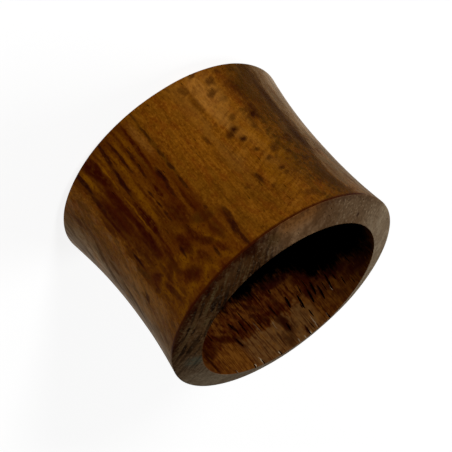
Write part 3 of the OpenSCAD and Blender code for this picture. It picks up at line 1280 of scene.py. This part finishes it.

# %% [markdown]
# Coats in the bore
# The deep part of the bore is black in the photograph. Shade does some of that, and painted shade the rest:
# below a ragged line the colour is painted black, but only on the half that shows through the front mouth
# from the camera's side. Seen from behind, the other half is plain torn wood, with painted shade that
# darkens it slowly with the depth.

# %% Colour of the bore
bore = Finish(dry_bore)
turn = bore.turn_in_bore()
inner = unrolled(bore, turn, BORE_ARC, 0.3)
ragged_level = bore.height + (bore.clouds - 0.5) * 0.5 + (bore.flecks - 0.5) * 0.4
tan_zone = ragged_level.fade(12.4, 12.9) * turn.fade(168.0, 177.0) * turn.fade(224.0, 216.0)
mottle = bore.grain(0.3, 0.5, 3.0, 20.0)
scratches = bore.grain(0.09, 1.6, 2.0, 26.0)
# Painted shade: deeper in the bore, below about 12.5 mm, the colour is painted darker
deep = ragged_level.fade(13.0, 12.0)
# Painted shade: below this ragged line the camera's half of the bore is painted black
painted_shade_level = 14.6 - turn.fade(104.0, 166.0) * 2.6 - turn.fade(158.0, 174.0) * 2.4
shown_half = turn.fade(70.0, 92.0) * turn.fade(290.0, 268.0)
painted_shade_depth = shown_half * (painted_shade_level - ragged_level - bore.fibres * 0.4).fade(-1.0, 0.3)
bore_colour = bore.coats(
    DRY_RED,
    (DRY_AMBER, (bore.streaks * 0.25 + bore.flecks * 0.45 + 0.08 - deep * 0.27).clamped()),
    (DRY_TAN, tan_zone * (0.5 + bore.flecks * 0.45)),
    (DRY_AMBER, laid_on(BORE_AMBER, inner, BORE_ARC, 0.2) * (0.5 + bore.flecks * 0.5)),
    (DARK_RED, laid_on(BORE_RED, inner, BORE_ARC, 0.1) * (0.2 + bore.ragged).clamped()),
    # Purple-red wood, and painted shade along the edge of the bore's shadow
    (PURPLE_RED, laid_on(BORE_PURPLE_AND_SHADE, inner, BORE_ARC, 0.1) * (0.3 + bore.ragged).clamped()),
    (DARK_RED, mottle.fade(0.5, 0.64) * (0.3 + deep * 0.5)),
    (BRIGHT_HONEY, mottle.fade(0.46, 0.32) * (0.3 - deep * 0.1)),
    (PURPLE_RED, deep * (0.1 + bore.flecks * 0.12)),
    (DARK_RED, scratches.fade(0.51, 0.64) * (0.6 + deep * 0.25)),
    # Painted shade: darker on the camera's half of the bore, towards the side that the key light misses
    (DARK_RED, shown_half * turn.fade(176.0, 150.0) * 0.3),
    (BLACK_BROWN, laid_on(BORE_DARK, inner, BORE_ARC) * (0.3 + bore.ragged).clamped()),
    # Painted shade in the depth of the bore
    (UNLIT, painted_shade_depth),
    # Painted highlights: glints on the mouth's edge, with pale torn fibres
    (PALE_FLECK_AND_GLINT, laid_on(BORE_GLINTS_AND_SPLINTERS, inner, BORE_ARC)),
    # Painted shade: darker all round below 10 mm, and more so on the camera's half
    (UNLIT, bore.height.fade(10.0, 7.0) * (0.25 + shown_half * 0.45)),
)
bore.done(bore_colour, 0.45 + bore.flecks * 0.1, bore.fibres * 0.5 + mottle + scratches)

# %% [markdown]
# Sanded end grain
# A rim cuts across the fibres, so it is grey end grain. Sandpaper was drawn over it after the oil. Its
# scratches all run one way, straight across the ring, and cloudy dust sits in the pores. Only the outer
# edge keeps some of the oil.

# %% Colour of the rims
SCRATCH_WAY = math.radians(46)
rim = Finish(sanded_rim)
turn = rim.turn_from_front()
from_axis = (rim.x**2.0 + rim.y**2.0) ** 0.5
with_paper = rim.x * math.cos(SCRATCH_WAY) + rim.y * math.sin(SCRATCH_WAY)
over_paper = rim.y * math.cos(SCRATCH_WAY) - rim.x * math.sin(SCRATCH_WAY)
sanding = rim.noise(rim.vector(over_paper * 3.8, with_paper * 0.5, rim.height * 0.3), 3.0)
cells = rim.grain(0.2, 0.4, 3.0, 31.0)
dark_rim = turn.fade(-108.0, -60.0) * turn.fade(22.0, -2.0)
red_rim = turn.fade(-50.0, -24.0) * turn.fade(22.0, 2.0)
warm_rim = turn.fade(6.0, 20.0) * turn.fade(56.0, 34.0)
grey_rim = turn.fade(32.0, 46.0) * turn.fade(96.0, 68.0)
outward = from_axis.fade(7.8, 9.3)
oiled_edge = (from_axis + (rim.flecks - 0.5) * 0.4).fade(9.1, 9.45) * turn.size().fade(84.0, 54.0)
laid_flat = rim.vector(turn * WALL_ARC, from_axis, 0.0)


def spot(turn, radius, edge, core):
    """A round spot on the rim, by its turn in degrees and its distance from the axis in mm."""
    return laid_flat.work("DISTANCE", (turn * WALL_ARC, radius, 0.0), output="Value").fade(edge, core)


rim_colour = rim.coats(
    END_GRAIN,
    (DARK_END_GRAIN, dark_rim),
    (RED_END_GRAIN, red_rim * 0.9),
    (HONEY, warm_rim * (0.5 + outward * 0.35)),
    (DARK_END_GRAIN, grey_rim * 0.8),
    (RED_END_GRAIN, warm_rim * (0.1 + rim.clouds * 0.55)),
    (OPEN_PORE, sanding.fade(0.49, 0.59) * (dark_rim * 0.85 + 0.08)),
    (SCRATCH_GREY, sanding.fade(0.46, 0.34) * dark_rim * 0.5),
    (OPEN_PORE, cells.fade(0.5, 0.66) * (0.32 + dark_rim * 0.2)),
    (PALE_FLECK_AND_GLINT, cells.fade(0.46, 0.3) * (0.3 - dark_rim * 0.2 - warm_rim * 0.24)),
    (DARK_END_GRAIN, rim.clouds * 0.35),
    (GREY_GREEN, spot(-75.0, 8.0, 1.1, 0.2) * (0.35 + rim.flecks * 0.4)),
    (OLIVE, spot(12.0, 8.8, 0.9, 0.2) * 0.5),
    (DARK_RED, oiled_edge * (0.35 + dark_rim * 0.35)),
    (BLACK_BROWN, spot(1.0, 9.3, 0.8, 0.3) * 0.7),
    (BLACK_BROWN, spot(66.0, 8.15, 0.24, 0.08) * 0.8),
)
rim.done(rim_colour, 0.65 + rim.flecks * 0.1, cells * 0.6 + sanding * 0.8)

# %% [markdown]
# Walls of the open vessels
# An open vessel in the bore is a deep and narrow groove, which shade and dust keep dark. It needs no
# chart: a brown that is nearly black, with a little noise in it, is enough at this size.

# %% Inside the cut vessels
vessel = Finish(open_vessel)
vessel_colour = vessel.coats(UNLIT, (BLACK_BROWN, 0.3 + vessel.flecks * 0.5))
vessel.done(vessel_colour, 0.6 + vessel.flecks * 0.1, vessel.fibres)

# %% [markdown]
# The floor
# A sheet of pale card, lit so evenly that it seems to glow, is the plainest floor. A lamp for it would also
# change the light on the wood, so the card gives off the light itself. Its glow ends at the tunnel's foot,
# or it would shine up the bore. A faint pool is left inside, which shows from above that the bore is open.

# %% Pale card
FLOOR_REACH = 1.5
FOOT_R = BORE_R + 0.1 * MM
FOOT_EDGE = 0.4 * MM
CARD_GLOW = 0.82
INSIDE_GLOW = 0.05
POOL_GLOW = 0.12
floor_mesh = bpy.data.meshes.new("floor")
corners = [(x * FLOOR_REACH, y * FLOOR_REACH, 0) for x, y in ((-1, -1), (1, -1), (1, 1), (-1, 1))]
floor_mesh.from_pydata(corners, [], [(0, 1, 2, 3)])
floor = bpy.data.objects.new("floor", floor_mesh)
bpy.context.collection.objects.link(floor)
pale_card = bpy.data.materials.new("pale card")
pale_card.use_nodes = True
pale_card.node_tree.nodes.clear()
sheet = Graph(pale_card.node_tree)
from_middle = sheet.add("ShaderNodeTexCoord", {}, {}, "Object").work("LENGTH", output="Value")
pool = from_middle.fade(FOOT_R, 0.0) * POOL_GLOW + INSIDE_GLOW
glow = pool + from_middle.fade(FOOT_R, FOOT_R + FOOT_EDGE) * CARD_GLOW
lit_card = sheet.add(
    "ShaderNodeBsdfPrincipled",
    {},
    {
        "Base Color": (0.25, 0.25, 0.25, 1),
        "Roughness": 0.9,
        "Specular IOR Level": 0.1,
        "Emission Color": sheet.vector(glow, glow, glow),
        "Emission Strength": 1.0,
    },
)
sheet.add("ShaderNodeOutputMaterial", {}, {"Surface": lit_card})
floor_mesh.materials.append(pale_card)
print(f"the card glows {CARD_GLOW + INSIDE_GLOW:.2f} outside the foot and {INSIDE_GLOW:.2f} just inside it")

# %% [markdown]
# The lights
# Two round soft lights and a bright horizon are a plain studio. The key comes low over the near rim, so it
# lights the far side of the bore only near the mouth and leaves the depth dark, as in the photograph. The
# back light is wide and weaker, and shapes the side that the key misses.

# %% Soft lights


def softbox(name, turn, height, size, brightness, distance=0.4):
    """A round soft light that faces the tunnel, with its angles in degrees and its sizes in metres.

    The brightness is what a white card facing it would show, where 1 is white on the screen."""
    lamp = bpy.data.objects.new(name, bpy.data.lights.new(name, "AREA"))
    lamp.data.shape = "DISK"
    lamp.data.size = size
    lamp.data.energy = brightness * math.pi**2 * distance**2
    side, lift = math.radians(turn), math.radians(height)
    toward = Vector((-math.sin(side) * math.cos(lift), -math.cos(side) * math.cos(lift), math.sin(lift)))
    facing = toward.to_track_quat("Z", "Y").to_matrix().to_4x4()
    lamp.matrix_world = Matrix.Translation(toward * distance) @ facing
    bpy.context.collection.objects.link(lamp)
    print(f"{name} light: {lamp.data.energy:.2f} W from {height} degrees up")


softbox("key", turn=30, height=25, size=0.08, brightness=0.6)
softbox("back", turn=140, height=32, size=0.25, brightness=0.45)

# %% Bright horizon
HORIZON_GLOW = 0.5
OVERHEAD_GLOW = 0.03
# How far a direction climbs, as a share of its length, where the horizon's glow has ended
GLOW_TOP = 0.45
room = bpy.data.worlds.new("room")
bpy.context.scene.world = room
room.use_nodes = True
room.node_tree.nodes.clear()
walls = Graph(room.node_tree)
upward = walls.add("ShaderNodeTexCoord", {}, {}, "Generated").parts()[2]
horizon = upward.fade(GLOW_TOP, 0.0) * HORIZON_GLOW + OVERHEAD_GLOW
grey = walls.vector(horizon, horizon, horizon)
dome = walls.add("ShaderNodeBackground", {}, {"Color": grey, "Strength": 1.0})
walls.add("ShaderNodeOutputWorld", {}, {"Surface": dome})
bpy.context.scene.view_settings.view_transform = "Standard"
print(f"the room gives {OVERHEAD_GLOW:.2f} overhead and {OVERHEAD_GLOW + HORIZON_GLOW:.2f} at the horizon")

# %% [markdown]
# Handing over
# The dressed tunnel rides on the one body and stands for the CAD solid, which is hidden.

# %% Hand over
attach(tunnel, "root")
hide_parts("tunnel")
